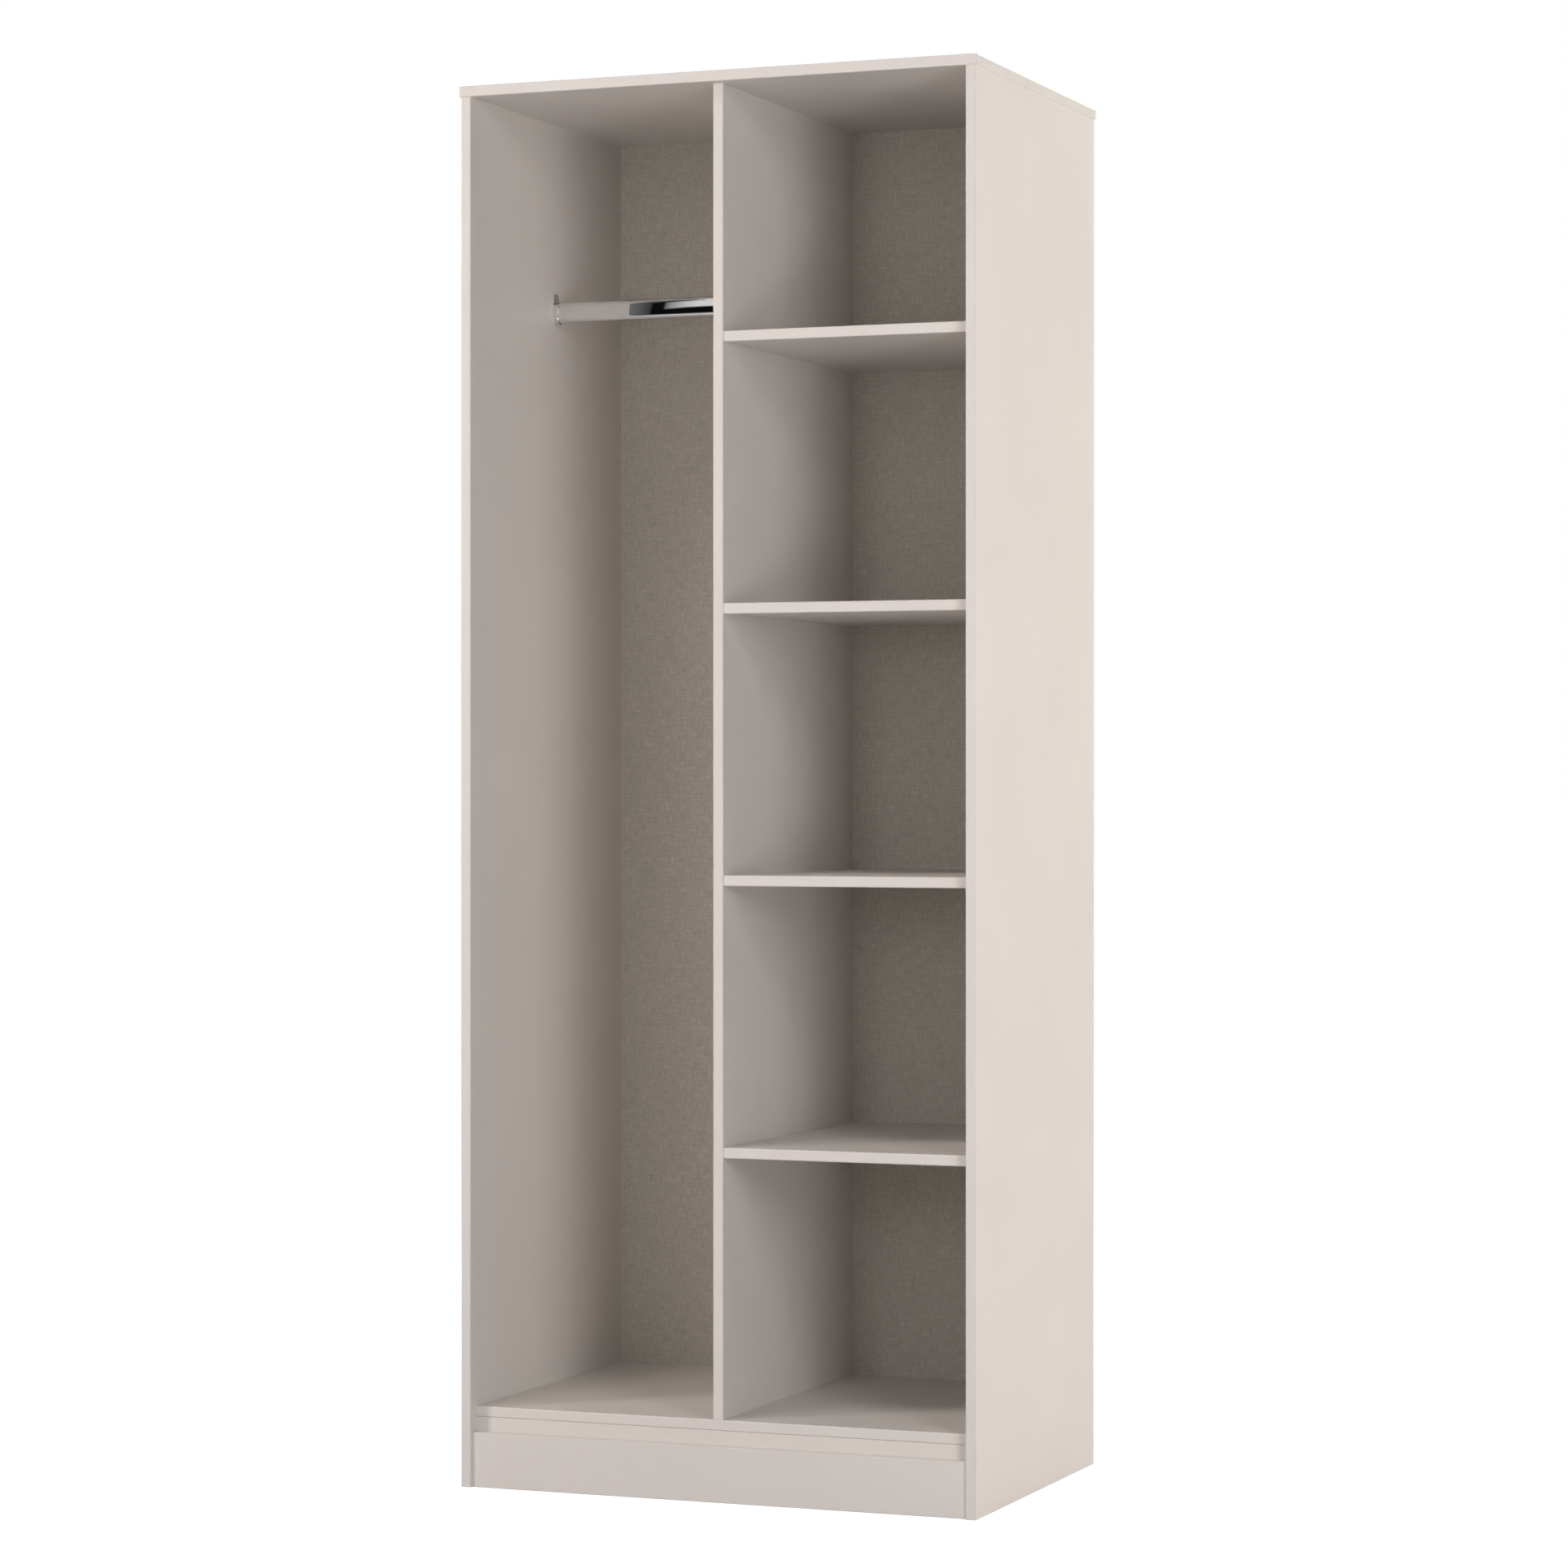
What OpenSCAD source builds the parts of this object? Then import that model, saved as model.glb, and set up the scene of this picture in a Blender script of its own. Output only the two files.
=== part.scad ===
// Tall open wardrobe carcass: a hanging bay on the left, a shelved bay on the right and a
// recessed plinth below. Millimetres. X runs to the right, Y from the open front to the back,
// Z up. The origin is at the middle of the footprint, on the floor.

/* [Overall] */
// Width over the top panel
overall_w = 770; // [700:5:900]
// Depth over the top panel
overall_d = 530; // [480:5:600]
// Height to the upper face of the top panel
overall_h = 1970; // [1950:5:2100]

/* [Boards] */
// Thickness of the laminated boards
board_t = 15; // [15:1:18]
// Thickness of the hardboard back
back_t = 3; // [2.5:0.5:4]
// Gap between the floor and the lower edge of the back
back_lift = 10; // [5:1:30]
// Strip of each side's rear edge that the back leaves bare
back_margin = 2; // [1:0.5:4]
// Thickness of the edge bands, and how far the top panel stands proud of the sides
band_t = 2; // [1:0.5:2]

/* [Bays] */
// Distance of the divider from the middle
divider_x = 0; // [-60:5:60]
// Setback of the divider and the bottom panel behind the front edges of the sides
inner_setback = 20; // [18:1:30]
// Setback of the shelves behind the front edges of the sides
shelf_setback = 22; // [18:1:40]
// Clear height under each shelf
shelf_gap = 360.5; // [280:0.5:370]

/* [Base] */
// Height of the underside of the bottom panel
base_h = 97; // [85:1:120]
// Height of the plinth fascia
fascia_h = 77; // [60:1:80]

/* [Hanging rail] */
// Height of the oval tube
rail_h = 30; // [25:1:30]
// Thickness of the oval tube
rail_w = 15; // [13:1:16]
// Wall of the oval tube
rail_wall = 1; // [0.8:0.1:1.5]
// Height of the middle of the tube above the floor
rail_z = 1679.5; // [1500:0.5:1700]
// Distance of the middle of the tube behind the front edges of the sides
rail_y = 287; // [240:1:300]

/* [Fixings] */
// Diameter of the dowels
dowel_d = 8; // [6:1:8]
// Length of the dowels
dowel_len = 30; // [25:1:35]
// Largest spacing of the pins along the edges of the back
pin_pitch = 150; // [100:10:250]

/* [Hidden] */
$fn = 48;

laminate_colour = [0.86, 0.82, 0.78];
band_colour = [0.84, 0.80, 0.76];
linen_colour = [0.47, 0.44, 0.41];
chrome_colour = [0.80, 0.81, 0.82];
beech_colour = [0.84, 0.70, 0.50];
zinc_colour = [0.72, 0.72, 0.70];

// Planes across the width
side_out = overall_w / 2 - band_t;
side_in = side_out - board_t;
side_mid = side_out - board_t / 2;
divider_left = divider_x - board_t / 2;
divider_right = divider_x + board_t / 2;

// Planes along the depth
top_front = -overall_d / 2;
rear = overall_d / 2;
board_rear = rear - back_t;
side_front = top_front + band_t;
inner_front = side_front + inner_setback;
shelf_front = side_front + shelf_setback;
fascia_front = inner_front - board_t;
rail_front_mid = inner_front + board_t / 2;
rail_rear_mid = board_rear - board_t / 2;

// Planes up the height
top_under = overall_h - board_t;
floor_top = base_h + board_t;
shelf_count = 4;
function shelf_under(i) = floor_top + shelf_gap + (i - 1) * (shelf_gap + board_t);

// Rounding of the bands' outer arrises, and of the arrises of the plain base boards
band_r = band_t;
plain_r = 1;

// Dowel holes: depth in a board's face, depth in a board's edge, and the layer of glue
face_hole = board_t - 4;
edge_hole = dowel_len + 1 - face_hole;
glue = 0.1;
dowel_chamfer = 1;

// Rail brackets: cup round the tube's end, plate behind it and screw tab above it
cup_clear = 0.2;
cup_wall = 2;
cup_depth = 8;
cup_rim_drop = 4;
plate_t = 1.5;
tab_w = 17;
tab_rise = 12.5;
tab_r = 4;
tab_screw_rise = 7;
cup_screw_drop = 7.5;
tube_end_gap = 0.5;

// Screws and pins
screw_r = 1.75;
screw_head_r = 3.2;
screw_grip = 12;
tip_len = 3;
recess_w = 0.9;
recess_l = 3.6;
recess_deep = 0.9;
pin_r = 0.8;
pin_head_r = 1.8;
pin_head_t = 0.6;
pin_len = 20;

// ---- helpers ----

// n places from a to b, both included
function row(n, a, b) = [for (i = [0:n - 1]) a + (b - a) * i / (n - 1)];

// Places from a to b, no further apart than pin_pitch
function pin_row(a, b) = row(ceil((b - a) / pin_pitch) + 1, a, b);

// Box between two opposite corners
module slab(low, high) {
    translate(low) cube(high - low);
}

// Section of an edge band: glued on y = 0, with both outer arrises rounded
module band_section() {
    translate([band_r, 0]) square([board_t - 2 * band_r, band_t]);
    for (x = [band_r, board_t - band_r]) intersection() {
        translate([x, 0]) circle(band_r);
        square([board_t, band_t]);
    }
}

// Band on the front of an upright board, whose left face is at x and front edge at y
module band_upright(x, y, z0, z1) {
    translate([x + board_t, y, z0]) rotate(180) linear_extrude(z1 - z0) band_section();
}

// Band on the front of a level board, whose front edge is at y and underside at z
module band_level(x0, x1, y, z) {
    translate([x0, y, z]) rotate([90, 0, 90]) rotate(90) linear_extrude(x1 - x0) band_section();
}

// Plain level board standing on edge, with its front arrises rounded
module edge_board(x0, x1, y, h) {
    translate([x0, y, 0]) rotate([90, 0, 90]) linear_extrude(x1 - x0) {
        translate([plain_r, 0]) square([board_t - plain_r, h]);
        translate([0, plain_r]) square([board_t, h - 2 * plain_r]);
        for (v = [plain_r, h - plain_r]) translate([plain_r, v]) circle(plain_r);
    }
}

// ---- dowel joints ----
// A joint is a point on the plane where two boards meet, and the turn that points +Z
// into the board drilled in its edge.

into_right = [0, 90, 0];
into_left = [0, -90, 0];
into_upper = [0, 0, 0];
into_lower = [180, 0, 0];

deep_row = row(4, side_front + 45, board_rear - 45);
shelf_row = row(3, shelf_front + 45, board_rear - 45);
rail_row = row(2, 25, base_h - 25);

top_left_joints = [for (y = deep_row) [[-side_mid, y, top_under], into_lower]];
top_right_joints = [for (y = deep_row) [[side_mid, y, top_under], into_lower]];
top_divider_joints = [for (y = shelf_row) [[divider_x, y, top_under], into_lower]];
foot_divider_joints = [for (y = shelf_row) [[divider_x, y, floor_top], into_upper]];
floor_mid = base_h + board_t / 2;
floor_left_joints = [for (y = shelf_row) [[-side_in, y, floor_mid], into_right]];
floor_right_joints = [for (y = shelf_row) [[side_in, y, floor_mid], into_left]];
function shelf_mid(i) = shelf_under(i) + board_t / 2;
function shelf_left_joints(i) = [for (y = shelf_row) [[divider_right, y, shelf_mid(i)], into_right]];
function shelf_right_joints(i) = [for (y = shelf_row) [[side_in, y, shelf_mid(i)], into_left]];
function rail_left_joints(y) = [for (z = rail_row) [[-side_in, y, z], into_right]];
function rail_right_joints(y) = [for (z = rail_row) [[side_in, y, z], into_left]];

left_side_joints = concat(
    top_left_joints, floor_left_joints,
    rail_left_joints(rail_front_mid), rail_left_joints(rail_rear_mid)
);
right_side_joints = concat(
    top_right_joints, floor_right_joints,
    rail_right_joints(rail_front_mid), rail_right_joints(rail_rear_mid),
    [for (i = [1:shelf_count]) each shelf_right_joints(i)]
);
divider_joints = concat(
    top_divider_joints, foot_divider_joints,
    [for (i = [1:shelf_count]) each shelf_left_joints(i)]
);
all_joints = concat(left_side_joints, right_side_joints, divider_joints);

// Places its children at each joint
module at_joints(joints) {
    for (j = joints) translate(j[0]) rotate(j[1]) children();
}

module dowel_holes(joints) {
    at_joints(joints) translate([0, 0, -face_hole])
        cylinder(r = dowel_d / 2 + glue, h = face_hole + edge_hole);
}

// Beech dowel, centred in the length of its two holes, with chamfered ends
module dowel() {
    body = dowel_len - 2 * dowel_chamfer;
    small_r = dowel_d / 2 - dowel_chamfer;
    translate([0, 0, (edge_hole - face_hole - dowel_len) / 2]) {
        cylinder(r1 = small_r, r2 = dowel_d / 2, h = dowel_chamfer);
        translate([0, 0, dowel_chamfer]) cylinder(d = dowel_d, h = body);
        translate([0, 0, dowel_chamfer + body]) cylinder(r1 = dowel_d / 2, r2 = small_r, h = dowel_chamfer);
    }
}

module dowels() {
    color(beech_colour) at_joints(all_joints) dowel();
}

// ---- boards ----

module top_panel() {
    color(laminate_colour) difference() {
        slab([-side_out, side_front, top_under], [side_out, rear, overall_h]);
        dowel_holes(concat(top_left_joints, top_right_joints, top_divider_joints));
    }
}

module left_side() {
    color(laminate_colour) difference() {
        slab([-side_out, side_front + band_t, 0], [-side_in, board_rear, top_under]);
        dowel_holes(left_side_joints);
    }
}

module right_side() {
    color(laminate_colour) difference() {
        slab([side_in, side_front + band_t, 0], [side_out, board_rear, top_under]);
        dowel_holes(right_side_joints);
    }
}

module centre_divider() {
    color(laminate_colour) difference() {
        slab([divider_left, inner_front + band_t, floor_top], [divider_right, board_rear, top_under]);
        dowel_holes(divider_joints);
    }
}

module bottom_panel() {
    color(laminate_colour) difference() {
        slab([-side_in, inner_front + band_t, base_h], [side_in, board_rear, floor_top]);
        dowel_holes(concat(floor_left_joints, floor_right_joints, foot_divider_joints));
    }
}

module shelf(i) {
    z = shelf_under(i);
    color(laminate_colour) difference() {
        slab([divider_right, shelf_front + band_t, z], [side_in, board_rear, z + board_t]);
        dowel_holes(concat(shelf_left_joints(i), shelf_right_joints(i)));
    }
}

module back_panel() {
    half = side_out - back_margin;
    color(linen_colour) slab([-half, board_rear, back_lift], [half, rear, top_under]);
}

// ---- base ----

module base_rail_front() {
    color(laminate_colour) difference() {
        edge_board(-side_in, side_in, inner_front, base_h);
        dowel_holes(concat(rail_left_joints(rail_front_mid), rail_right_joints(rail_front_mid)));
    }
}

module base_rail_rear() {
    color(laminate_colour) difference() {
        slab([-side_in, board_rear - board_t, 0], [side_in, board_rear, base_h]);
        dowel_holes(concat(rail_left_joints(rail_rear_mid), rail_right_joints(rail_rear_mid)));
    }
}

module plinth_fascia() {
    color(laminate_colour) edge_board(-side_in, side_in, fascia_front, fascia_h);
}

// ---- edge bands ----

// The front band of the top runs over the ends of the two end bands, with rounded corners
module band_top_front() {
    half = overall_w / 2;
    color(band_colour) intersection() {
        band_level(-half, half, side_front, top_under);
        translate([0, 0, top_under]) linear_extrude(board_t) {
            translate([-side_out, top_front]) square([2 * side_out, band_t]);
            for (x = [-side_out, side_out]) translate([x, side_front]) circle(band_r);
        }
    }
}

module top_end_band() {
    translate([-side_out, rear, top_under]) rotate([90, 0, 0]) rotate(90)
        linear_extrude(rear - side_front) band_section();
}

module band_top_left() {
    color(band_colour) top_end_band();
}

module band_top_right() {
    color(band_colour) mirror([1, 0, 0]) top_end_band();
}

module band_left_side() {
    color(band_colour) band_upright(-side_out, side_front + band_t, 0, top_under);
}

module band_right_side() {
    color(band_colour) band_upright(side_in, side_front + band_t, 0, top_under);
}

module band_divider() {
    color(band_colour) band_upright(divider_left, inner_front + band_t, floor_top, top_under);
}

module band_bottom_panel() {
    color(band_colour) band_level(-side_in, side_in, inner_front + band_t, base_h);
}

module band_shelf(i) {
    color(band_colour) band_level(divider_right, side_in, shelf_front + band_t, shelf_under(i));
}

// ---- hanging rail ----

rail_mid_y = side_front + rail_y;
// Height of the centres of the tube's two round edges above and below its middle
round_rise = (rail_h - rail_w) / 2;
cup_r = rail_w / 2 + cup_clear + cup_wall;
rim_z = rail_h / 2 - cup_rim_drop;
tab_top = rail_h / 2 + tab_rise;

// Upright oval, smaller than the tube by inset all round
module oval(inset) {
    for (z = [-round_rise, round_rise]) translate([0, z]) circle(rail_w / 2 - inset);
    translate([inset - rail_w / 2, -round_rise]) square([rail_w - 2 * inset, 2 * round_rise]);
}

module hanging_rail() {
    x0 = -side_in + plate_t + tube_end_gap;
    x1 = divider_left - plate_t - tube_end_gap;
    color(chrome_colour) translate([x0, rail_mid_y, rail_z]) rotate([90, 0, 90])
        linear_extrude(x1 - x0) difference() {
            oval(0);
            oval(rail_wall);
        }
}

// U outline of the cup, open at the rim: r is its half width
module cup_outline(r) {
    translate([0, -round_rise]) circle(r);
    translate([-r, -round_rise]) square([2 * r, rim_z + round_rise]);
}

module tab_outline() {
    translate([-tab_w / 2, 0]) square([tab_w, tab_top - tab_r]);
    translate([tab_r - tab_w / 2, 0]) square([tab_w - 2 * tab_r, tab_top]);
    for (y = [tab_r - tab_w / 2, tab_w / 2 - tab_r]) translate([y, tab_top - tab_r]) circle(tab_r);
}

screw_heights = [-cup_screw_drop, rail_h / 2 + tab_screw_rise];

// Bracket whose plate lies on x = 0 and whose cup stands out along +X
module rail_bracket() {
    difference() {
        rotate([90, 0, 90]) {
            linear_extrude(plate_t) {
                cup_outline(cup_r);
                tab_outline();
            }
            linear_extrude(cup_depth) difference() {
                cup_outline(cup_r);
                cup_outline(cup_r - cup_wall);
                translate([cup_wall - cup_r, 0]) square([2 * (cup_r - cup_wall), rim_z + 1]);
            }
        }
        for (z = screw_heights) translate([0, 0, z]) rotate([0, 90, 0]) {
            cylinder(r1 = screw_r + glue, r2 = screw_head_r + glue, h = plate_t);
            translate([0, 0, -1]) cylinder(r = screw_r + glue, h = plate_t + 2);
        }
    }
}

module at_left_bracket() {
    translate([-side_in, rail_mid_y, rail_z]) children();
}

module at_right_bracket() {
    translate([divider_left, rail_mid_y, rail_z]) mirror([1, 0, 0]) children();
}

module rail_bracket_left() {
    color(chrome_colour) at_left_bracket() rail_bracket();
}

module rail_bracket_right() {
    color(chrome_colour) at_right_bracket() rail_bracket();
}

// ---- screws and pins ----

// Countersunk screw with a cross recess: head flush with z = 0, shank down to -grip
module screw(head_h, grip) {
    difference() {
        union() {
            translate([0, 0, -head_h]) cylinder(r1 = screw_r, r2 = screw_head_r, h = head_h);
            translate([0, 0, tip_len - grip]) cylinder(r = screw_r, h = grip - tip_len - head_h);
            translate([0, 0, -grip]) cylinder(r1 = 0.3, r2 = screw_r, h = tip_len);
        }
        for (turn = [0, 90]) rotate(turn) translate([-recess_l / 2, -recess_w / 2, -recess_deep])
            cube([recess_l, recess_w, recess_deep + 1]);
    }
}

module bracket_screws() {
    for (z = screw_heights) translate([plate_t, 0, z]) rotate([0, 90, 0]) screw(plate_t, screw_grip);
}

module rail_screws() {
    color(zinc_colour) {
        at_left_bracket() bracket_screws();
        at_right_bracket() bracket_screws();
    }
}

plinth_grip = 26;
plinth_head_h = 2;

module plinth_screws() {
    color(zinc_colour) for (x = row(4, 60 - side_in, side_in - 60))
        translate([x, inner_front + board_t, fascia_h / 2]) rotate([-90, 0, 0]) screw(plinth_head_h, plinth_grip);
}

// Pin whose head is flush with z = 0
module pin() {
    translate([0, 0, -pin_head_t]) cylinder(r = pin_head_r, h = pin_head_t);
    translate([0, 0, -pin_len]) cylinder(r = pin_r, h = pin_len - pin_head_t);
}

module pin_at(x, z) {
    translate([x, rear, z]) rotate([-90, 0, 0]) pin();
}

module back_pins() {
    pin_top = top_under - 25;
    color(zinc_colour) {
        for (x = [-side_mid, side_mid], z = pin_row(45, pin_top)) pin_at(x, z);
        for (z = pin_row(floor_top + 60, pin_top)) pin_at(divider_x, z);
        for (i = [1:shelf_count], x = row(4, divider_right, side_in)) {
            if (x > divider_right && x < side_in) pin_at(x, shelf_mid(i));
        }
        for (x = row(6, -side_in, side_in)) if (abs(x) < side_in) pin_at(x, floor_mid);
    }
}

top_panel();
left_side();
right_side();
centre_divider();
bottom_panel();
shelf(1);  // shelf_1
shelf(2);  // shelf_2
shelf(3);  // shelf_3
shelf(4);  // shelf_4
base_rail_front();
base_rail_rear();
plinth_fascia();
back_panel();
band_top_front();
band_top_left();
band_top_right();
band_left_side();
band_right_side();
band_divider();
band_bottom_panel();
band_shelf(1);  // band_shelf_1
band_shelf(2);  // band_shelf_2
band_shelf(3);  // band_shelf_3
band_shelf(4);  // band_shelf_4
hanging_rail();
rail_bracket_left();
rail_bracket_right();
rail_screws();
dowels();
plinth_screws();
back_pins();
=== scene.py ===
import math

import bmesh
import bpy
from mathutils import Matrix, Vector


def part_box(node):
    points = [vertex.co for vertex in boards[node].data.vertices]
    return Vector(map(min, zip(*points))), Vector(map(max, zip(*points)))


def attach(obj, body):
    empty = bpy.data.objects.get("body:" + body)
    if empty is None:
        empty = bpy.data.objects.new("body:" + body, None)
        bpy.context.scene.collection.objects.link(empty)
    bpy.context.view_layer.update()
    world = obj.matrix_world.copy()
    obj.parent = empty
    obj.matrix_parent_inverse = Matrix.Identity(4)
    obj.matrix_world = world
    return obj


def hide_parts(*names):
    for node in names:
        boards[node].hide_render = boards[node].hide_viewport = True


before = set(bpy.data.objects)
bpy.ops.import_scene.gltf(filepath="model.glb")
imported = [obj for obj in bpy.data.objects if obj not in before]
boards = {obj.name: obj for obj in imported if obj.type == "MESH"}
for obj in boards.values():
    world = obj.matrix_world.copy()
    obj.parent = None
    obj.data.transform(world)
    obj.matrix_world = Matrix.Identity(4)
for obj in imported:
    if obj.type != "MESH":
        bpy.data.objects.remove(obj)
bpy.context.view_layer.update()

scene = bpy.context.scene

# Sizes below are in millimetres unless their comment says otherwise
MM = 0.001

# Points nearer to each other than this are made one
WELD = 0.001

# Axes by their place in a vector
X, Y = 0, 1

# ---- camera, floor and light ----

# Camera: turn to the right of straight ahead and tilt in degrees, distances in metres
VIEW_TURN = 21.569
VIEW_TILT = -0.0103
VIEW_DISTANCE = 6.232
VIEW_AIM = (0.002, 0.0, 0.990)
VIEW_REACH = 200.0

# Lens and sensor
VIEW_LENS = 100.0
VIEW_SENSOR = 36.0

# Gels over the softboxes
WARM = (1.0, 0.915, 0.89)
CREAM = (1.0, 0.935, 0.865)
PLAIN = (1.0, 0.965, 0.97)

# Softboxes: name, turn to the right, rise above level (degrees), side (metres), power (watts), gel
SOFTBOXES = [
    ("left_key", -48, 10, 0.8, 65.9, WARM),
    ("left_high", -24, 52, 0.8, 31.2, WARM),
    ("front_high", 0, 20, 0.8, 5.2, PLAIN),
    ("front_low", 0, 6, 0.8, 12.7, PLAIN),
    ("right_low", 42, -8, 0.8, 22.4, PLAIN),
    ("right_middle", 42, 8, 0.8, 11.1, PLAIN),
    ("right_high", 42, 24, 0.8, 13.5, PLAIN),
    ("right_outer", 52, 8, 0.8, 14.9, PLAIN),
    ("right_outer_high", 52, 24, 0.8, 5.3, PLAIN),
    ("side_high", 118, 18, 1.4, 51.3, CREAM),
    ("side_low", 118, 0, 1.4, 53.0, CREAM),
    ("overhead", 0, 90, 1.4, 22.0, PLAIN),
    ("rear", 180, 30, 1.4, 60.0, PLAIN),
    ("rear_left", -120, 25, 1.4, 60.0, PLAIN),
]

# How far the softboxes stand from the point that they face, in metres
SOFTBOX_DISTANCE = 4.0
SOFTBOX_CENTRE = Vector((0.0, 0.0, 0.99))

# Backdrop: its colour, and its light on the room as a share of what the camera sees
WHITE = (1.0, 1.0, 1.0, 1.0)
ROOM_FILL = 0.004

# Floor: gap under the feet, own colour and roughness, radius in metres, and sides of its outline
FLOOR_GAP = 0.5
FLOOR_TONE = (0.55, 0.55, 0.55, 1.0)
FLOOR_ROUGHNESS = 0.9
FLOOR_RADIUS = 60.0
FLOOR_SIDES = 96

# Glow that lifts the floor to white, near and far, and the distances in metres between which it grows
FLOOR_LIFT = (0.9, 1.0)
FLOOR_LIFT_REACH = (0.8, 3.2)

# Cards that show only in reflections: Y, upper edge, and half the height of the fade at the foot
CARD_FRONT = -900.0
CARD_HEAD = 2400.0
CARD_FADE = 6.5

# X, lower edge and glow at each upright line of a card
GREY_CARD = [(-648, 1400, 0.17), (-607, 1400, 0.04)]
LIGHT_CARD = [
    (-583, 1776, 0.12),
    (-574, 1779.5, 0.3),
    (-545, 1787, 0.6),
    (-525, 1788.5, 0.75),
    (-440, 1791, 0.75),
]


def new_object(name, data):
    """Object that holds the given data, linked into the scene."""
    thing = bpy.data.objects.new(name, data)
    scene.collection.objects.link(thing)
    return thing


def put_camera():
    data = bpy.data.cameras.new("camera")
    data.lens = VIEW_LENS
    data.sensor_width = VIEW_SENSOR
    data.clip_end = VIEW_REACH
    camera = new_object("camera", data)
    turn = math.radians(VIEW_TURN)
    back = Vector((math.sin(turn), -math.cos(turn), 0.0))
    camera.location = Vector(VIEW_AIM) + VIEW_DISTANCE * back
    camera.rotation_euler = (math.radians(90.0 + VIEW_TILT), 0.0, turn)
    scene.camera = camera


def put_softbox(name, turn, rise, side, power, gel):
    data = bpy.data.lights.new(name, "AREA")
    data.shape = "SQUARE"
    data.size = side
    data.energy = power
    data.color = gel
    lamp = new_object(name, data)
    across, up = math.radians(turn), math.radians(rise)
    way = Vector((math.sin(across) * math.cos(up), -math.cos(across) * math.cos(up), math.sin(up)))
    lamp.location = SOFTBOX_CENTRE + SOFTBOX_DISTANCE * way
    lamp.rotation_euler = way.to_track_quat("Z", "Y").to_euler()


def put_card(name, stations):
    """Glowing card for the chrome to reflect, with a soft edge along its foot."""
    rows = [[(x, low - CARD_FADE, 0.0), (x, low + CARD_FADE, glow), (x, CARD_HEAD, glow)]
            for x, low, glow in stations]
    points = [point for row in rows for point in row]
    quads = [(3 * i + k, 3 * i + 3 + k, 3 * i + 4 + k, 3 * i + 1 + k)
             for i in range(len(rows) - 1) for k in range(2)]
    mesh = bpy.data.meshes.new(name)
    mesh.from_pydata([(x * MM, CARD_FRONT * MM, z * MM) for x, z, glow in points], [], quads)
    light = mesh.attributes.new("glow", "FLOAT", "POINT")
    light.data.foreach_set("value", [glow for x, z, glow in points])
    card = new_object(name, mesh)
    paper = bpy.data.materials.new(name)
    paper.use_nodes = True
    tree = paper.node_tree
    printed = add(tree, "ShaderNodeAttribute")
    printed.attribute_name = "glow"
    glow = add(tree, "ShaderNodeEmission")
    feed(tree, glow.inputs["Strength"], printed.outputs["Fac"])
    feed(tree, tree.nodes["Material Output"].inputs["Surface"], glow.outputs[0])
    mesh.materials.append(paper)
    card.visible_camera = False
    card.visible_diffuse = False
    card.visible_shadow = False
    card.visible_transmission = False


def put_backdrop():
    """White paper behind the piece, which lends the room only a little light."""
    world = bpy.data.worlds.new("studio")
    world.use_nodes = True
    tree = world.node_tree
    paper = tree.nodes["Background"]
    paper.inputs["Color"].default_value = WHITE
    seen = add(tree, "ShaderNodeLightPath").outputs["Is Camera Ray"]
    feed(tree, paper.inputs["Strength"], mix_value(tree, seen, ROOM_FILL, 1.0))
    scene.world = world
    scene.view_settings.view_transform = "Standard"


def put_floor():
    """Pale paper sweep: it keeps a soft contact shadow, fades to white and is sheer from below."""
    mesh = bpy.data.meshes.new("floor")
    sheet = bmesh.new()
    bmesh.ops.create_circle(sheet, cap_ends=True, radius=FLOOR_RADIUS, segments=FLOOR_SIDES)
    sheet.to_mesh(mesh)
    sheet.free()
    floor = new_object("floor", mesh)
    paint = bpy.data.materials.new("studio floor")
    paint.use_nodes = True
    tree = paint.node_tree
    shader = tree.nodes["Principled BSDF"]
    shader.inputs["Base Color"].default_value = FLOOR_TONE
    shader.inputs["Roughness"].default_value = FLOOR_ROUGHNESS
    place = add(tree, "ShaderNodeTexCoord").outputs["Object"]
    away = add(tree, "ShaderNodeVectorMath", operation="LENGTH")
    feed(tree, away.inputs[0], place)
    lift = spread(tree, away.outputs["Value"], *FLOOR_LIFT_REACH, *FLOOR_LIFT)
    seen = add(tree, "ShaderNodeLightPath").outputs["Is Camera Ray"]
    glow = add(tree, "ShaderNodeEmission")
    feed(tree, glow.inputs["Strength"], maths(tree, "MULTIPLY", seen, lift))
    both = add(tree, "ShaderNodeAddShader")
    feed(tree, both.inputs[0], shader.outputs[0])
    feed(tree, both.inputs[1], glow.outputs[0])
    below = add(tree, "ShaderNodeNewGeometry").outputs["Backfacing"]
    sheer = add(tree, "ShaderNodeMixShader")
    feed(tree, sheer.inputs["Fac"], maths(tree, "MULTIPLY", seen, below))
    feed(tree, sheer.inputs[1], both.outputs[0])
    feed(tree, sheer.inputs[2], add(tree, "ShaderNodeBsdfTransparent").outputs[0])
    feed(tree, tree.nodes["Material Output"].inputs["Surface"], sheer.outputs[0])
    mesh.materials.append(paint)
    floor.location.z = -FLOOR_GAP * MM


# ---- small helpers for node trees ----

def add(tree, kind, **settings):
    node = tree.nodes.new(kind)
    for key, value in settings.items():
        setattr(node, key, value)
    return node


def feed(tree, socket, source):
    """Link a socket to another, or set it to a plain value."""
    if isinstance(source, bpy.types.NodeSocket):
        tree.links.new(source, socket)
    else:
        socket.default_value = source


def maths(tree, operation, first, second=0.0):
    node = add(tree, "ShaderNodeMath", operation=operation)
    feed(tree, node.inputs[0], first)
    feed(tree, node.inputs[1], second)
    return node.outputs[0]


def half(tree, value):
    return maths(tree, "MULTIPLY", value, 0.5)


def minus(tree, value):
    return maths(tree, "MULTIPLY", value, -1.0)


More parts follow.
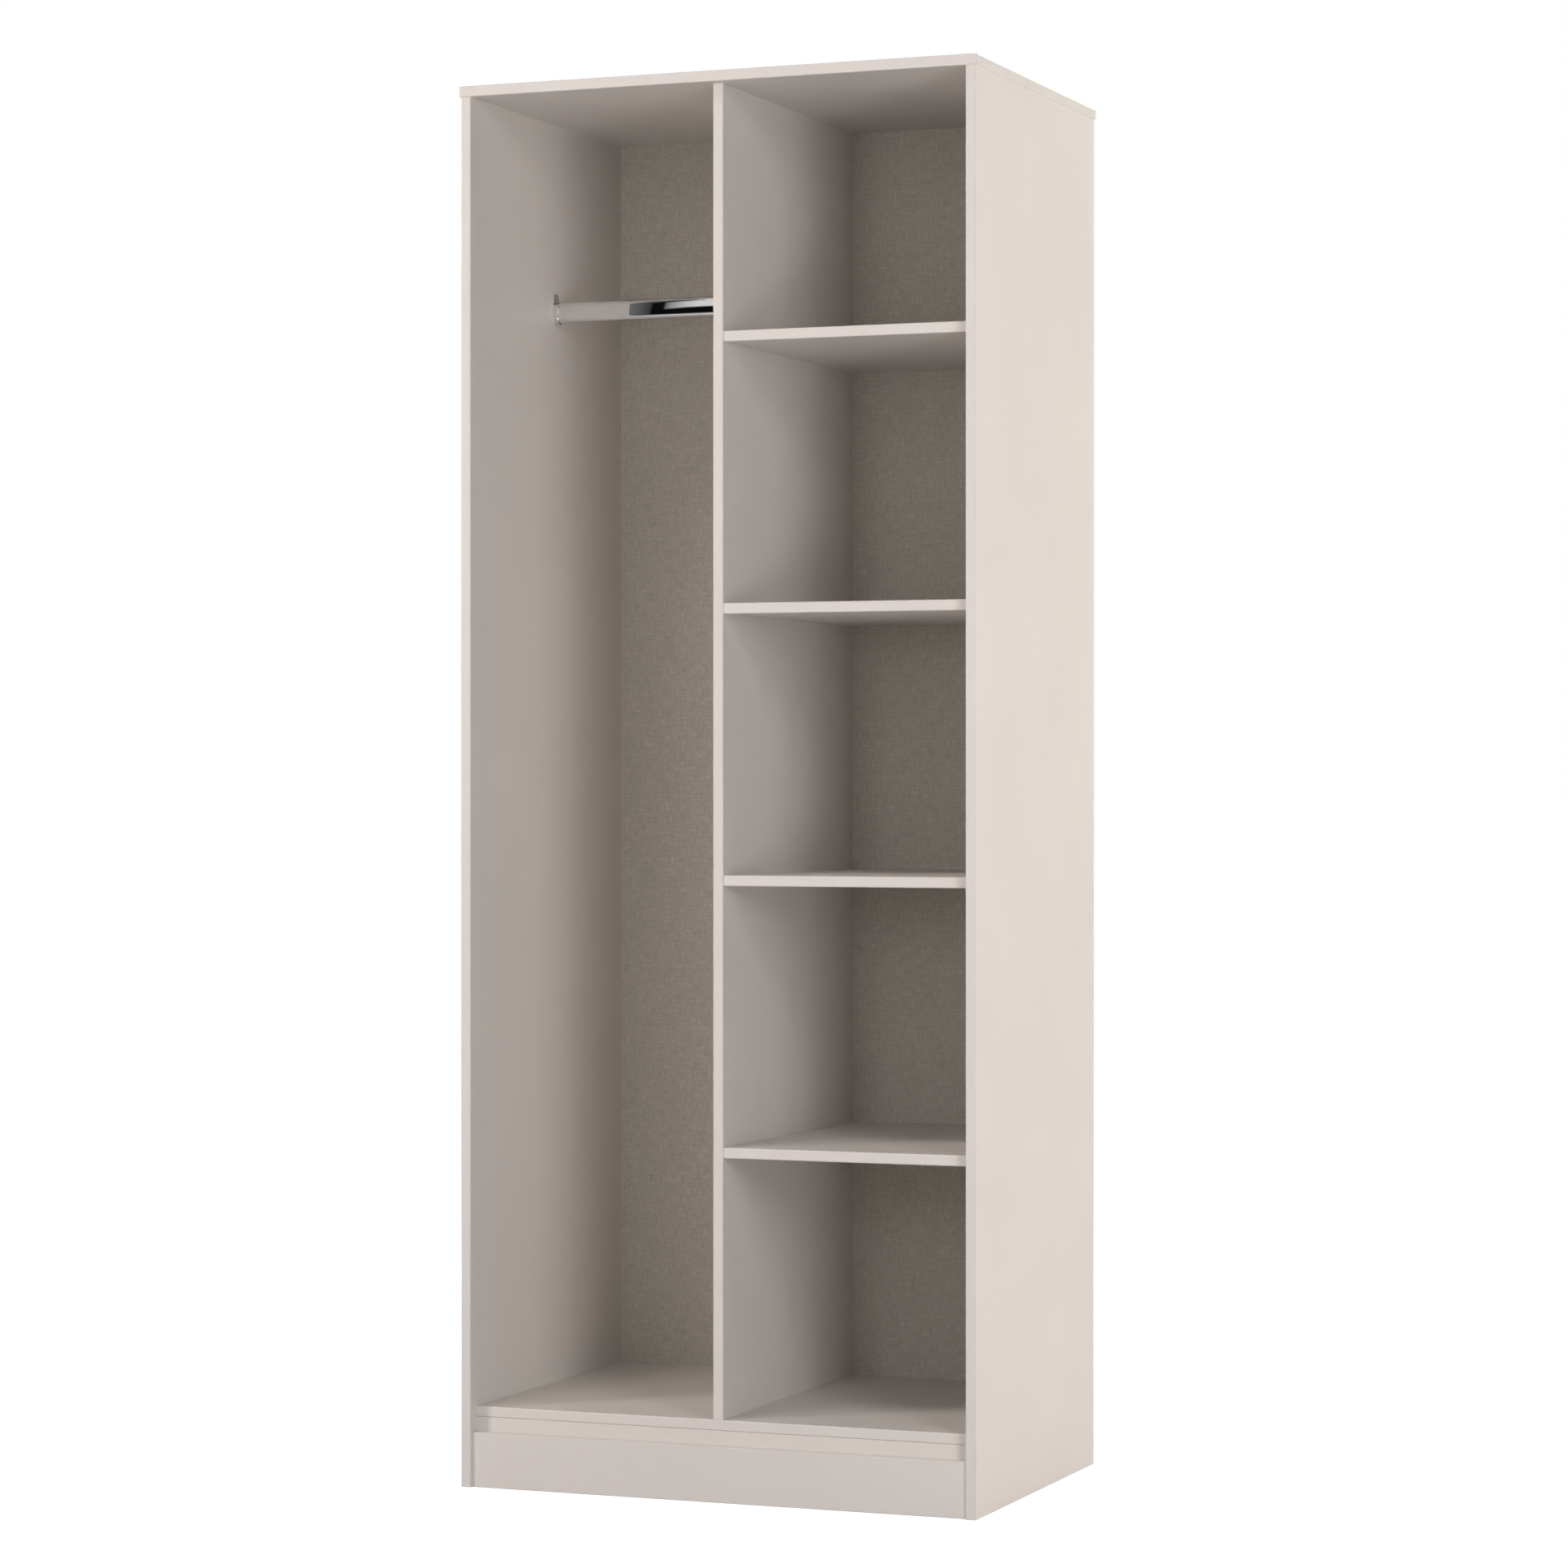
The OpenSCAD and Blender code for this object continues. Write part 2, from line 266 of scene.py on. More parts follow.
def mix_value(tree, amount, low, high):
    node = add(tree, "ShaderNodeMix", data_type="FLOAT")
    feed(tree, node.inputs[0], amount)
    feed(tree, node.inputs[2], low)
    feed(tree, node.inputs[3], high)
    return node.outputs[0]


def mix_colour(tree, amount, low, high):
    node = add(tree, "ShaderNodeMix", data_type="RGBA")
    feed(tree, node.inputs[0], amount)
    feed(tree, node.inputs[6], low)
    feed(tree, node.inputs[7], high)
    return node.outputs[2]


def spread(tree, value, low, high, to_low=0.0, to_high=1.0):
    """Stretch the range low to high over the range to_low to to_high, and stop at its ends."""
    node = add(tree, "ShaderNodeMapRange")
    for socket, source in zip(node.inputs, (value, low, high, to_low, to_high)):
        feed(tree, socket, source)
    return node.outputs[0]


def pattern_place(tree, size, grain=None):
    """Place on the surface, counted in pattern sizes along X, Y and Z."""
    if grain is None:
        place = add(tree, "ShaderNodeTexCoord").outputs["Object"]
    else:
        place = add(tree, "ShaderNodeAttribute", attribute_name=grain).outputs["Vector"]
    mapping = add(tree, "ShaderNodeMapping")
    feed(tree, mapping.inputs["Vector"], place)
    mapping.inputs["Scale"].default_value = [1.0 / (length * MM) for length in size]
    return mapping.outputs[0]


def noise(tree, size, detail=2.0, low=0.3, high=0.7, grain=None):
    """Cloudy pattern from 0 to 1 with blotches of the given size along X, Y and Z."""
    node = add(tree, "ShaderNodeTexNoise")
    feed(tree, node.inputs["Vector"], pattern_place(tree, size, grain))
    node.inputs["Scale"].default_value = 1.0
    node.inputs["Detail"].default_value = detail
    return spread(tree, node.outputs[0], low, high)


# A flat faces a way when the cosine of the angle between them is above this
FACING_COSINE = 0.7


def facing(ways):
    """Mask of the flats whose outward direction is one of the given ways."""
    def mask(tree):
        normal = add(tree, "ShaderNodeTexCoord").outputs["Normal"]
        total = 0.0
        for way in ways:
            along = add(tree, "ShaderNodeVectorMath", operation="DOT_PRODUCT")
            feed(tree, along.inputs[0], normal)
            along.inputs[1].default_value = way
            faces = maths(tree, "GREATER_THAN", along.outputs["Value"], FACING_COSINE)
            total = maths(tree, "MAXIMUM", faces, total)
        return total
    return mask


def line_at(axis, place, width):
    """Mask of the thin line where the given axis reaches the place, as far as the width on each side."""
    def mask(tree):
        point = add(tree, "ShaderNodeSeparateXYZ")
        feed(tree, point.inputs[0], add(tree, "ShaderNodeTexCoord").outputs["Object"])
        gap = maths(tree, "ABSOLUTE", maths(tree, "SUBTRACT", point.outputs[axis], place))
        return maths(tree, "LESS_THAN", gap, width * MM)
    return mask


# ---- finishes: each surface gives its colour, its roughness and its relief in millimetres ----

def tone(colour, factor=1.0):
    return (colour[0] * factor, colour[1] * factor, colour[2] * factor, 1.0)


CASHMERE = (0.69, 0.665, 0.63)
GLUE = (0.50, 0.45, 0.40)
CHIP_LIGHT = (0.58, 0.44, 0.29)
CHIP_DARK = (0.30, 0.20, 0.12)
LINEN_LIGHT = (0.74, 0.70, 0.635)
LINEN_DARK = (0.46, 0.44, 0.395)
HARDBOARD_LIGHT = (0.33, 0.22, 0.13)
HARDBOARD_DARK = (0.22, 0.14, 0.08)
CHROME = (0.80, 0.80, 0.81)
ZINC = (0.66, 0.67, 0.68)
STEEL = (0.50, 0.50, 0.51)
BEECH_LIGHT = (0.66, 0.48, 0.31)
BEECH_DARK = (0.50, 0.33, 0.19)


def melamine(tree):
    """Satin board paper pressed with a fine pebble."""
    mottle = noise(tree, (180, 180, 180))
    pebble = noise(tree, (0.9, 0.9, 0.9), detail=3.0)
    colour = mix_colour(tree, mottle, tone(CASHMERE, 0.985), tone(CASHMERE, 1.015))
    roughness = mix_value(tree, pebble, 0.42, 0.50)
    relief = maths(tree, "MULTIPLY", pebble, 0.008)
    return colour, roughness, relief


def edge_strip(tree):
    """Moulded strip, a touch smoother than the board, with faint marks from the trimmer."""
    pebble = noise(tree, (0.6, 0.6, 0.6))
    pull = noise(tree, (90, 90, 90))
    colour = mix_colour(tree, pull, tone(CASHMERE, 0.99), tone(CASHMERE, 1.02))
    roughness = mix_value(tree, pebble, 0.36, 0.44)
    relief = maths(tree, "MULTIPLY", pebble, 0.004)
    return colour, roughness, relief


def glue_line(tree):
    """Dull hairline of glue, a little below the surface."""
    fleck = noise(tree, (3, 3, 3))
    colour = mix_colour(tree, fleck, tone(GLUE, 0.9), tone(GLUE, 1.1))
    roughness = 0.6
    relief = -0.03
    return colour, roughness, relief


def chipboard(tree):
    """Sawn core of the board: pressed chips lying level, coarse in the middle."""
    chips = add(tree, "ShaderNodeTexVoronoi")
    feed(tree, chips.inputs["Vector"], pattern_place(tree, (2.6, 2.6, 1.1)))
    chips.inputs["Scale"].default_value = 1.0
    chip = add(tree, "ShaderNodeSeparateColor")
    feed(tree, chip.inputs[0], chips.outputs["Color"])
    dust = noise(tree, (0.5, 0.5, 0.5), detail=3.0)
    shade = mix_value(tree, 0.3, chip.outputs[0], dust)
    colour = mix_colour(tree, shade, tone(CHIP_DARK), tone(CHIP_LIGHT))
    roughness = mix_value(tree, dust, 0.8, 0.95)
    relief = maths(tree, "MULTIPLY", chips.outputs["Distance"], 0.12)
    return colour, roughness, relief


def linen(tree):
    """Linen print on the back: close upright threads crossed by short slubs."""
    warp = noise(tree, (1.8, 20, 16))
    weft = noise(tree, (28, 20, 2.3))
    slub = noise(tree, (9, 20, 3), detail=1.0, low=0.52, high=0.72)
    weave = mix_value(tree, 0.4, warp, weft)
    thread = mix_value(tree, 0.25, weave, slub)
    colour = mix_colour(tree, thread, tone(LINEN_DARK), tone(LINEN_LIGHT))
    roughness = mix_value(tree, thread, 0.66, 0.56)
    relief = maths(tree, "MULTIPLY", thread, 0.02)
    return colour, roughness, relief


def hardboard(tree):
    """Bare rear of the back: brown fibre with the press screen's fine print."""
    fibre = noise(tree, (6, 6, 6), detail=4.0)
    across = noise(tree, (1.2, 20, 0.5))
    upright = noise(tree, (0.5, 20, 1.2))
    screen = mix_value(tree, 0.5, across, upright)
    shade = mix_value(tree, 0.4, fibre, screen)
    colour = mix_colour(tree, shade, tone(HARDBOARD_DARK), tone(HARDBOARD_LIGHT))
    roughness = mix_value(tree, fibre, 0.75, 0.9)
    relief = maths(tree, "MULTIPLY", screen, 0.05)
    return colour, roughness, relief


def polished_chrome(tree):
    """Bright plate with hairlines along the tube from the polishing belt."""
    hairline = noise(tree, (60, 0.4, 0.4))
    colour = mix_colour(tree, hairline, tone(CHROME, 0.985), tone(CHROME))
    roughness = mix_value(tree, hairline, 0.012, 0.03)
    relief = maths(tree, "MULTIPLY", hairline, 0.0001)
    return colour, roughness, relief


def cast_chrome(tree):
    """Plated casting, slightly softer than the tube."""
    skin = noise(tree, (1.5, 1.5, 1.5), detail=3.0)
    colour = mix_colour(tree, skin, tone(CHROME, 0.95), tone(CHROME))
    roughness = mix_value(tree, skin, 0.12, 0.2)
    relief = maths(tree, "MULTIPLY", skin, 0.002)
    return colour, roughness, relief


def zinc_plate(tree):
    """Bright screw plating with a faint spangle."""
    spangle = noise(tree, (1.2, 1.2, 1.2))
    colour = mix_colour(tree, spangle, tone(ZINC, 0.92), tone(ZINC, 1.05))
    roughness = mix_value(tree, spangle, 0.26, 0.38)
    relief = maths(tree, "MULTIPLY", spangle, 0.003)
    return colour, roughness, relief


def drawn_steel(tree):
    """Plain wire with marks along it from the drawing die."""
    draw = noise(tree, (0.5, 4, 0.5))
    colour = mix_colour(tree, draw, tone(STEEL, 0.85), tone(STEEL, 1.05))
    roughness = mix_value(tree, draw, 0.35, 0.5)
    relief = maths(tree, "MULTIPLY", draw, 0.004)
    return colour, roughness, relief


def beech(tree):
    """Turned beech, with the grain and its small flecks along each dowel."""
    grain = noise(tree, (0.8, 0.8, 14), detail=3.0, grain="grain")
    fleck = noise(tree, (0.3, 0.3, 1.6), detail=1.0, low=0.6, high=0.7, grain="grain")
    wood = mix_colour(tree, grain, tone(BEECH_LIGHT), tone(BEECH_DARK))
    colour = mix_colour(tree, maths(tree, "MULTIPLY", fleck, 0.6), wood, tone(BEECH_DARK, 0.7))
    roughness = mix_value(tree, grain, 0.5, 0.65)
    relief = maths(tree, "MULTIPLY", grain, 0.02)
    return colour, roughness, relief


def finish(name, surface, patches=(), metallic=0.0):
    """Material of one surface, with other surfaces laid over it where their masks say."""
    material = bpy.data.materials.new(name)
    material.use_nodes = True
    tree = material.node_tree
    colour, roughness, relief = surface(tree)
    for mask, patch in patches:
        where = mask(tree)
        over = patch(tree)
        colour = mix_colour(tree, where, colour, over[0])
        roughness = mix_value(tree, where, roughness, over[1])
        relief = mix_value(tree, where, relief, over[2])
    shader = tree.nodes["Principled BSDF"]
    feed(tree, shader.inputs["Base Color"], colour)
    feed(tree, shader.inputs["Roughness"], roughness)
    shader.inputs["Metallic"].default_value = metallic
    bump = add(tree, "ShaderNodeBump")
    bump.inputs["Distance"].default_value = MM
    feed(tree, bump.inputs["Height"], relief)
    feed(tree, shader.inputs["Normal"], bump.outputs[0])
    return material


REAR, FRONT = (0, 1, 0), (0, -1, 0)
UP, DOWN = (0, 0, 1), (0, 0, -1)
LEFT, RIGHT = (-1, 0, 0), (1, 0, 0)

upright_board = finish("upright board", melamine, [(facing([REAR, UP, DOWN]), chipboard)])
level_board = finish("level board", melamine, [(facing([REAR, LEFT, RIGHT]), chipboard)])
base_board = finish("base board", melamine, [(facing([LEFT, RIGHT, DOWN]), chipboard)])
back_board = finish("linen back", hardboard, [(facing([FRONT]), linen)])
chrome = finish("polished chrome", polished_chrome, metallic=1.0)
casting = finish("cast chrome", cast_chrome, metallic=1.0)
zinc = finish("zinc plate", zinc_plate, metallic=1.0)
steel = finish("drawn steel", drawn_steel, metallic=1.0)
dowel_wood = finish("beech dowel", beech)

BOARD_FINISH = {
    "left_side": upright_board, "right_side": upright_board, "centre_divider": upright_board,
    "top_panel": level_board, "bottom_panel": level_board,
    "shelf_1": level_board, "shelf_2": level_board, "shelf_3": level_board, "shelf_4": level_board,
    "base_rail_front": base_board, "base_rail_rear": base_board, "plinth_fascia": base_board,
    "back_panel": back_board,
}

# Half the width of the glue's hairline
GLUE_WIDTH = 0.08


def band_finish(name):
    """Edge strip with the hairline of glue where it meets its board."""
    low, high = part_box(name)
    if name == "band_top_left":
        line = line_at(X, high.x, GLUE_WIDTH)
    elif name == "band_top_right":
        line = line_at(X, low.x, GLUE_WIDTH)
    else:
        line = line_at(Y, high.y, GLUE_WIDTH)
    return finish("edge strip " + name, edge_strip, [(line, glue_line)])


def finish_boards():
    for name, material in BOARD_FINISH.items():
        boards[name].data.materials[0] = material
    for name in boards:
        if name.startswith("band_"):
            boards[name].data.materials[0] = band_finish(name)


# ---- pieces ----

def stand_in(piece, node):
    """Let a detailed piece take the place of a node of the frame."""
    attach(piece, "root")
    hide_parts(node)


def new_piece(name, mesh, sharp_angle):
    """Object with a smooth skin, apart from its edges past the sharp angle in degrees."""
    piece = new_object(name, mesh)
    mesh.polygons.foreach_set("use_smooth", [True] * len(mesh.polygons))
    mesh.set_sharp_from_angle(angle=math.radians(sharp_angle))
    return piece


# Decimals of a metre to which the corners of solids are compared when they are put in order
ORDER_DECIMALS = 5


def solids_of(node):
    """Lowest and highest corner of each separate solid in a node, in order of place."""
    form = bmesh.new()
    form.from_mesh(boards[node].data)
    bmesh.ops.remove_doubles(form, verts=form.verts, dist=WELD * MM)
    unseen = set(form.verts)
    boxes = []
    while unseen:
        front = [unseen.pop()]
        solid = []
        while front:
            vert = front.pop()
            solid.append(vert.co.copy())
            for edge in vert.link_edges:
                other = edge.other_vert(vert)
                if other in unseen:
                    unseen.remove(other)
                    front.append(other)
        low = Vector([min(co[axis] for co in solid) for axis in range(3)])
        high = Vector([max(co[axis] for co in solid) for axis in range(3)])
        boxes.append((low, high))
    form.free()
    return sorted(boxes, key=lambda box: [round(v, ORDER_DECIMALS) for v in (*box[0], *box[1])])


# Oval tube: points round each half of the oval, wall, easing of the sawn ends and its last flat step
TUBE_STEPS = 32
TUBE_WALL = 1.0
TUBE_EASE = 0.3
TUBE_EASE_STEPS = 4
TUBE_SHOULDER = 0.2
TUBE_WELD = 0.0005
TUBE_SHARP = 50


def oval(half_width, half_height):
    """Points round an upright oval with flat flanks, as pairs of Y and Z."""
    flat = half_height - half_width
    points = []
    for middle, start in ((flat, 0.0), (-flat, math.pi)):
        for step in range(TUBE_STEPS + 1):
            turn = start + math.pi * step / TUBE_STEPS
            points.append((half_width * math.cos(turn), middle + half_width * math.sin(turn)))
    return points


def make_rail():
    """Oval tube as one closed wall: out along the outside and home along the bore."""
    low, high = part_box("hanging_rail")
    middle = (low + high) / 2
    half_width, half_height = (high.y - low.y) / 2, (high.z - low.z) / 2
    ease, wall = TUBE_EASE * MM, TUBE_WALL * MM
    quarter = [(ease * (1 - math.cos(a)), ease * (1 - math.sin(a)))
               for a in (math.pi / 2 * step / TUBE_EASE_STEPS for step in range(TUBE_EASE_STEPS + 1))]
    sawn = quarter + [(ease + TUBE_SHOULDER * MM, 0.0)]
    stations = [(low.x + inward, inset) for inward, inset in sawn]
    stations += [(high.x - inward, inset) for inward, inset in reversed(sawn)]
    bore = [(x, wall - inset) for x, inset in reversed(stations)]
    form = bmesh.new()
    rings = []
    for x, inset in stations + bore:
        ring = [form.verts.new((x, middle.y + y, middle.z + z))
                for y, z in oval(half_width - inset, half_height - inset)]
        rings.append(ring)
    count = len(rings[0])
    for index, ring in enumerate(rings):
        following = rings[(index + 1) % len(rings)]
        for k in range(count):
            form.faces.new((ring[k], ring[(k + 1) % count], following[(k + 1) % count], following[k]))
    bmesh.ops.remove_doubles(form, verts=form.verts, dist=TUBE_WELD * MM)
    bmesh.ops.recalc_face_normals(form, faces=form.faces)
    mesh = bpy.data.meshes.new("rail_tube")
    form.to_mesh(mesh)
    form.free()
    mesh.materials.append(chrome)
    stand_in(new_piece("rail_tube", mesh, TUBE_SHARP), "hanging_rail")


# Bracket: width and steps of the eased edges, then angles in degrees of a flat, an edge and a crease
BRACKET_EASE = 0.35
BRACKET_EASE_STEPS = 3
BRACKET_FLAT = 1
BRACKET_EDGE = 40
BRACKET_SHARP = 35


def make_bracket(name, node):
    """Cup bracket with the cast edges eased, on the frame's own outline."""
    form = bmesh.new()
    form.from_mesh(boards[node].data)
    bmesh.ops.remove_doubles(form, verts=form.verts, dist=WELD * MM)
    bmesh.ops.dissolve_limit(form, angle_limit=math.radians(BRACKET_FLAT),
                             verts=form.verts, edges=form.edges)
    sharp = [edge for edge in form.edges
             if edge.is_manifold and edge.calc_face_angle() > math.radians(BRACKET_EDGE)]
    bmesh.ops.bevel(form, geom=sharp, offset=BRACKET_EASE * MM, offset_type="OFFSET",
                    segments=BRACKET_EASE_STEPS, profile=0.5, affect="EDGES", clamp_overlap=True)
    bmesh.ops.recalc_face_normals(form, faces=form.faces)
    mesh = bpy.data.meshes.new(name)
    form.to_mesh(mesh)
    form.free()
    mesh.materials.append(casting)
    stand_in(new_piece(name, mesh, BRACKET_SHARP), node)


# ---- fixings, set out by geometry nodes ----

def geometry_tree(name, sizes):
    """Geometry tree with one named input for each size."""
    tree = bpy.data.node_groups.new(name, "GeometryNodeTree")
    tree.interface.new_socket("Places", in_out="INPUT", socket_type="NodeSocketGeometry")
    for label in sizes:
        tree.interface.new_socket(label, in_out="INPUT", socket_type="NodeSocketFloat")
    tree.interface.new_socket("Finish", in_out="INPUT", socket_type="NodeSocketMaterial")
    tree.interface.new_socket("Pieces", in_out="OUTPUT", socket_type="NodeSocketGeometry")
    return tree, tree.nodes.new("NodeGroupInput").outputs


def moved(tree, shape, z=0.0, turn=0.0):
    """Shape raised by z and turned about its upright axis."""
    node = add(tree, "GeometryNodeTransform")
    feed(tree, node.inputs["Geometry"], shape)
    place = add(tree, "ShaderNodeCombineXYZ")
    feed(tree, place.inputs["Z"], z)
    feed(tree, node.inputs["Translation"], place.outputs[0])
    node.inputs["Rotation"].default_value = (0.0, 0.0, turn)
    return node.outputs[0]


def cone(tree, top, bottom, height, sides, z):
    """Cone or straight pin that stands on the height z."""
    node = add(tree, "GeometryNodeMeshCone")
    node.inputs["Vertices"].default_value = sides
    feed(tree, node.inputs["Radius Top"], top)
    feed(tree, node.inputs["Radius Bottom"], bottom)
    feed(tree, node.inputs["Depth"], height)
    return moved(tree, node.outputs["Mesh"], z=z)


def block(tree, x, y, z):
    node = add(tree, "GeometryNodeMeshCube")
    size = add(tree, "ShaderNodeCombineXYZ")
    for socket, source in zip(size.inputs, (x, y, z)):
        feed(tree, socket, source)
    feed(tree, node.inputs["Size"], size.outputs[0])
    return node.outputs["Mesh"]


def fused(tree, shapes):
    """One closed skin round shapes that touch or overlap."""
    node = add(tree, "GeometryNodeMeshBoolean", operation="UNION", solver="EXACT")
    for shape in shapes:
        tree.links.new(shape, node.inputs["Mesh 2"])
    return node.outputs["Mesh"]


def set_out(tree, size, shape):
    """Put one shape at every place, along that place's aim, and make the result real."""
    aim = add(tree, "GeometryNodeInputNamedAttribute", data_type="FLOAT_VECTOR")
    aim.inputs["Name"].default_value = "aim"
    turn = add(tree, "FunctionNodeAlignRotationToVector", axis="Z")
    feed(tree, turn.inputs["Vector"], aim.outputs["Attribute"])
    copies = add(tree, "GeometryNodeInstanceOnPoints")
    feed(tree, copies.inputs["Points"], size["Places"])
    feed(tree, copies.inputs["Instance"], shape)
    feed(tree, copies.inputs["Rotation"], turn.outputs["Rotation"])
    real = add(tree, "GeometryNodeRealizeInstances")
    feed(tree, real.inputs[0], copies.outputs[0])
    coat = add(tree, "GeometryNodeSetMaterial")
    feed(tree, coat.inputs["Geometry"], real.outputs[0])
    feed(tree, coat.inputs["Material"], size["Finish"])
    feed(tree, tree.nodes.new("NodeGroupOutput").inputs[0], coat.outputs[0])


# Head, shank and tip lap into each other by this much, so that they fuse
LAP = 0.3

# Edges of a fixing past this angle in degrees are sharp
FIXING_SHARP = 35

# Screw: sides of its round parts, length of its tip, steps in each turn of the thread and its sides
SCREW_SIDES = 40
SCREW_TIP = 4.0
THREAD_STEPS = 14
THREAD_SIDES = 4

# Cross recess: slot width and middle radius as shares of its width, sides of the middle, and the
# heights of their cutters, which straddle the head's top, in recess depths
RECESS_SLOT = 0.24
RECESS_MIDDLE = 0.24
RECESS_SIDES = 16
RECESS_SLOT_DEEP = 2.0
RECESS_MIDDLE_DEEP = 2.6


def screw_tree(sizes):
    """Countersunk cross-recess screw, its head at the place and its shank away from its aim."""
    tree, size = geometry_tree("countersunk screw", sizes)
    head_radius = half(tree, size["Head Diameter"])
    core_radius = half(tree, size["Core Diameter"])
    thread_height = maths(tree, "SUBTRACT", half(tree, size["Thread Diameter"]), core_radius)
    head_bottom = minus(tree, size["Head Depth"])
    tip_top = maths(tree, "SUBTRACT", SCREW_TIP * MM, size["Length"])
    run = maths(tree, "SUBTRACT", head_bottom, tip_top)
    head = cone(tree, head_radius, core_radius, size["Head Depth"], SCREW_SIDES, head_bottom)
    slot_width = maths(tree, "MULTIPLY", size["Recess Width"], RECESS_SLOT)
    slot_deep = maths(tree, "MULTIPLY", size["Recess Depth"], RECESS_SLOT_DEEP)
    slot = block(tree, size["Recess Width"], slot_width, slot_deep)
    middle_radius = maths(tree, "MULTIPLY", size["Recess Width"], RECESS_MIDDLE)
    middle_deep = maths(tree, "MULTIPLY", size["Recess Depth"], RECESS_MIDDLE_DEEP)
    middle_foot = half(tree, minus(tree, middle_deep))
    middle = cone(tree, middle_radius, 0.0, middle_deep, RECESS_SIDES, middle_foot)
    recess = add(tree, "GeometryNodeMeshBoolean", operation="DIFFERENCE", solver="EXACT")
    tree.links.new(head, recess.inputs["Mesh 1"])
    for cutter in (slot, moved(tree, slot, turn=math.pi / 2), middle):
        tree.links.new(cutter, recess.inputs["Mesh 2"])
    point = minus(tree, size["Length"])
    core_height = maths(tree, "ADD", run, LAP * MM)
    core = cone(tree, core_radius, core_radius, core_height, SCREW_SIDES, tip_top)
    tip = cone(tree, core_radius, 0.0, (SCREW_TIP + LAP) * MM, SCREW_SIDES, point)
    helix = add(tree, "GeometryNodeCurveSpiral")
    helix.inputs["Resolution"].default_value = THREAD_STEPS
    feed(tree, helix.inputs["Rotations"], maths(tree, "DIVIDE", run, size["Pitch"]))
    feed(tree, helix.inputs["Start Radius"], core_radius)
    feed(tree, helix.inputs["End Radius"], core_radius)
    feed(tree, helix.inputs["Height"], run)
    ridge = add(tree, "GeometryNodeCurvePrimitiveCircle")
    ridge.inputs["Resolution"].default_value = THREAD_SIDES
    feed(tree, ridge.inputs["Radius"], thread_height)
    thread = add(tree, "GeometryNodeCurveToMesh")
    feed(tree, thread.inputs["Curve"], helix.outputs[0])
    feed(tree, thread.inputs["Profile Curve"], ridge.outputs[0])
    thread.inputs["Fill Caps"].default_value = True
    turns = moved(tree, thread.outputs[0], z=tip_top)
    shank = fused(tree, [core, tip, turns])
    set_out(tree, size, fused(tree, [recess.outputs["Mesh"], shank]))
    return tree


# Pin: sides of its head and its shank, its flat top as a share of its head's radius, and the
# length of its point in shank radii
PIN_HEAD_SIDES = 20
PIN_SHANK_SIDES = 12
PIN_CROWN = 0.7
PIN_POINT = 3.0


def pin_tree(sizes):
    """Back pin: a low domed head and a straight shank with a pointed tip."""
    tree, size = geometry_tree("back pin", sizes)
    head_radius = half(tree, size["Head Diameter"])
    shank_radius = half(tree, size["Shank Diameter"])
    rim = half(tree, size["Head Height"])
    head_bottom = minus(tree, size["Head Height"])
    brim = cone(tree, head_radius, head_radius, rim, PIN_HEAD_SIDES, head_bottom)
    crown_radius = maths(tree, "MULTIPLY", head_radius, PIN_CROWN)
    crown = cone(tree, crown_radius, head_radius, rim, PIN_HEAD_SIDES, minus(tree, rim))
    point = maths(tree, "MULTIPLY", shank_radius, PIN_POINT)
    tip_top = maths(tree, "SUBTRACT", point, size["Length"])
    run = maths(tree, "ADD", maths(tree, "SUBTRACT", head_bottom, tip_top), LAP * MM)
    shank = cone(tree, shank_radius, shank_radius, run, PIN_SHANK_SIDES, tip_top)
    taper = maths(tree, "ADD", point, LAP * MM)
    tip = cone(tree, shank_radius, 0.0, taper, PIN_SHANK_SIDES, minus(tree, size["Length"]))
    set_out(tree, size, fused(tree, [brim, crown, shank, tip]))
    return tree


# Dowel: flutes round it, steps along it, how much narrower its two ends are, and how far from the
# middle an end begins, as a share of the length
DOWEL_FLUTES = 16
DOWEL_STEPS = 16
DOWEL_EASE = 0.2
DOWEL_END = 0.499


